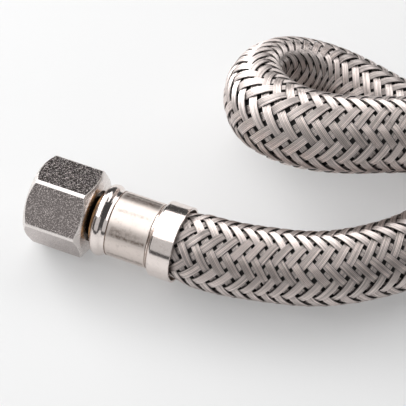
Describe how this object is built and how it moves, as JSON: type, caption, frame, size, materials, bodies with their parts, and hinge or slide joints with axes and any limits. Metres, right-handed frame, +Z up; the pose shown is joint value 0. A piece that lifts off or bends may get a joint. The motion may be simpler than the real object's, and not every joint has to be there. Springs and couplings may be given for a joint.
{
  "type": "braided supply line",
  "caption": "Flexible water supply hose in a woven stainless steel braid, lying in a loose loop, with a swivelling threaded hex nut and a pressed steel ferrule at each end.",
  "frame": {"origin": "centre of the inlet nut's mouth, to within its bevel", "axes": "+X along the inlet fitting, from the nut's mouth into the hose; +Z up from the surface that the line lies on"},
  "size_m": [0.1677, 0.0678, 0.0304],
  "materials": {
    "plated_nut": "nickel plated, blasted flats, bright edges",
    "washer_rubber": "matt",
    "stem_brass": "turned",
    "ferrule_steel": "polished",
    "tube_rubber": "matt",
    "braid_steel": "bright wire"
  },
  "bodies": {
    "hose": {"inlet_stem": "stem_brass", "inlet_ferrule": "ferrule_steel", "outlet_stem": "stem_brass", "outlet_ferrule": "ferrule_steel", "inner_tube": "tube_rubber", "braid": "braid_steel"},
    "inlet_seal": {"inlet_washer": "washer_rubber"},
    "inlet_swivel": {"inlet_nut": "plated_nut"},
    "outlet_seal": {"outlet_washer": "washer_rubber"},
    "outlet_swivel": {"outlet_nut": "plated_nut"}
  },
  "joints": [
    {"name": "inlet_nut_slide", "type": "slide", "parent": "hose", "child": "inlet_seal", "axis": [1, 0, 0], "range_m": [0, 0.0012]},
    {"name": "inlet_nut_turn", "type": "hinge", "parent": "inlet_seal", "child": "inlet_swivel", "pos_m": [0, 0, 0], "axis": [1, 0, 0], "continuous": true},
    {"name": "outlet_nut_slide", "type": "slide", "parent": "hose", "child": "outlet_seal", "axis": [-1, 0, 0], "range_m": [0, 0.0012]},
    {"name": "outlet_nut_turn", "type": "hinge", "parent": "outlet_seal", "child": "outlet_swivel", "pos_m": [0.1677, 0.05, 0], "axis": [-1, 0, 0], "continuous": true}
  ]
}
